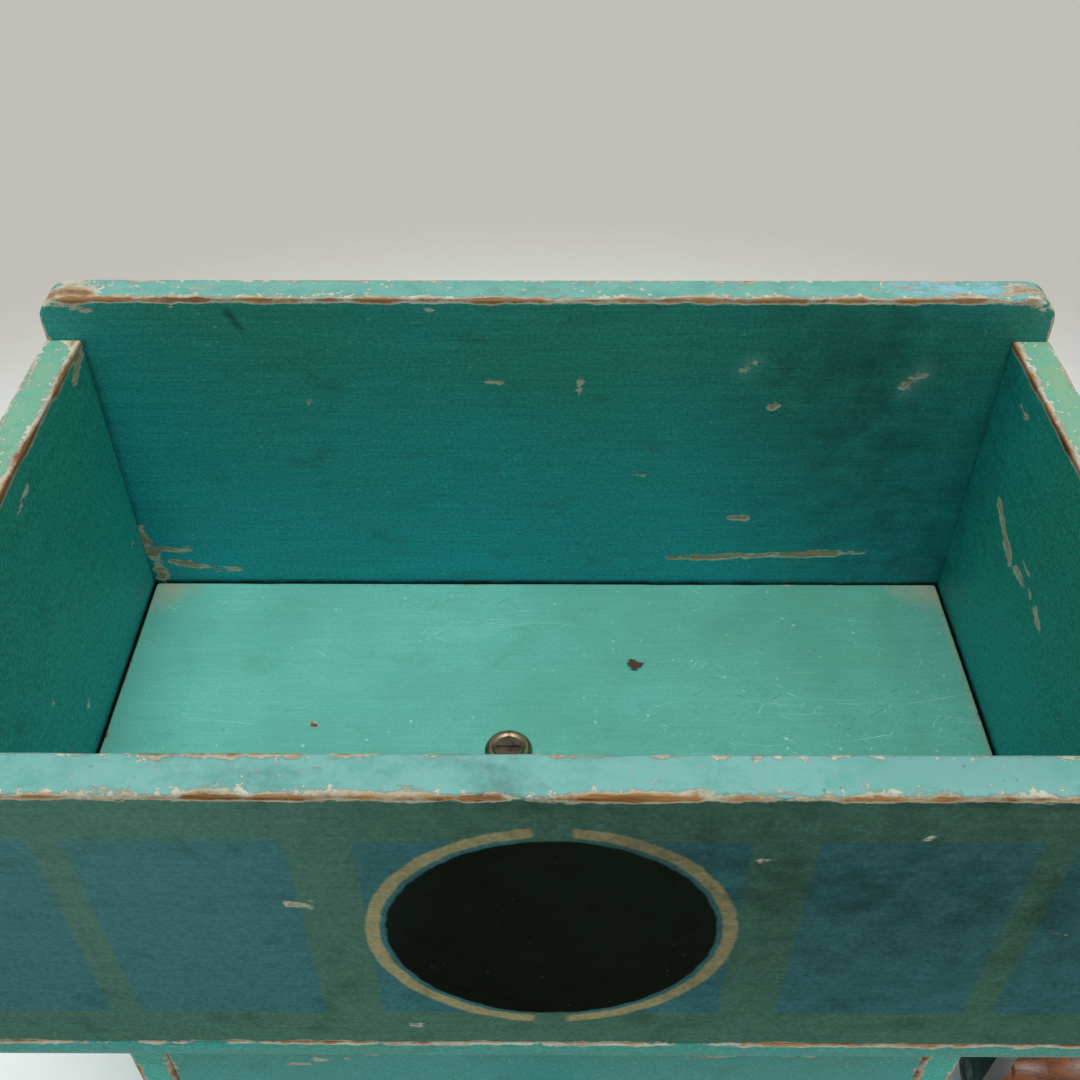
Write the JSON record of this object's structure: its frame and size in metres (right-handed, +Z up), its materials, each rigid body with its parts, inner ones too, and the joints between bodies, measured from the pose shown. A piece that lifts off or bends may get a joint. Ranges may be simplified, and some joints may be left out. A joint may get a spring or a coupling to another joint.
{
  "type": "coffee mill",
  "caption": "Household box coffee mill: open painted wooden bean tray over a case with a side crank, a horizontal burr grinder, a fineness screw and a drawer for the grounds.",
  "frame": {"origin": "middle of the plinth's underside, on the table", "axes": "+X to the right, where the crank is; +Y to the back; +Z up"},
  "size_m": [0.2753, 0.138, 0.2054],
  "materials": {
    "painted_wood": "hand-painted teal, worn at the edges",
    "painted_floor": "mint paint, scratched and dusty",
    "bare_pine": "bare softwood",
    "turned_wood": "turned hardwood, oiled",
    "cast_iron": "dark cast iron",
    "steel": "dull steel",
    "brass": "plain brass"
  },
  "bodies": {
    "frame": {"tray_back": "painted_wood", "tray_side_left": "painted_wood", "tray_side_right": "painted_wood", "tray_front": "painted_wood", "deck": "painted_wood", "case_side_left": "painted_wood", "case_side_right": "painted_wood", "case_back": "painted_wood", "case_front": "painted_wood", "plinth": "painted_wood", "tray_floor": "painted_floor", "drawer_strips": "bare_pine", "throat_liner": "cast_iron", "grinder_body": "cast_iron", "end_plate": "cast_iron", "side_bearing": "cast_iron", "adjuster_rosette": "cast_iron", "floor_screw": "steel", "throat_liner_screws": "steel", "grinder_bolts": "steel", "end_plate_screws": "steel", "bearing_screws": "steel", "rosette_screws": "steel", "ring_burr": "steel", "floor_cup_washer": "steel", "bearing_bush": "brass"},
    "crankset": {"mill_shaft": "steel", "shaft_washer": "steel", "feed_worm": "cast_iron", "cone_burr": "steel", "crank_arm": "cast_iron", "crank_nut": "steel", "grip_pin": "steel", "grip_washer": "steel"},
    "grip": {"crank_grip": "turned_wood"},
    "adjuster": {"adjusting_screw": "steel"},
    "thrust": {"thrust_ball": "steel"},
    "drawer": {"drawer_front": "painted_wood", "drawer_side_left": "bare_pine", "drawer_side_right": "bare_pine", "drawer_back": "bare_pine", "drawer_bottom": "bare_pine", "drawer_knob": "turned_wood", "drawer_knob_screw": "steel"}
  },
  "joints": [
    {"name": "burr_feed", "type": "slide", "parent": "frame", "child": "thrust", "axis": [1, 0, 0], "range_m": [-0.0005, 0.0005]},
    {"name": "adjuster_turn", "type": "hinge", "parent": "thrust", "child": "adjuster", "pos_m": [-0.08, -0.025, 0.08], "axis": [1, 0, 0], "range_deg": [-144.5, 144.5]},
    {"name": "crank_spin", "type": "hinge", "parent": "thrust", "child": "crankset", "pos_m": [0.1, -0.025, 0.08], "axis": [-1, 0, 0], "continuous": true},
    {"name": "grip_spin", "type": "hinge", "parent": "crankset", "child": "grip", "pos_m": [0.14, -0.025, 0.017], "axis": [-1, 0, 0], "continuous": true},
    {"name": "drawer_slide", "type": "slide", "parent": "frame", "child": "drawer", "axis": [0, -1, 0], "range_m": [0, 0.065]}
  ],
  "couplings": [
    {"joint": "adjuster_turn", "follows": "burr_feed", "rad_per_m": 5026.5}
  ]
}
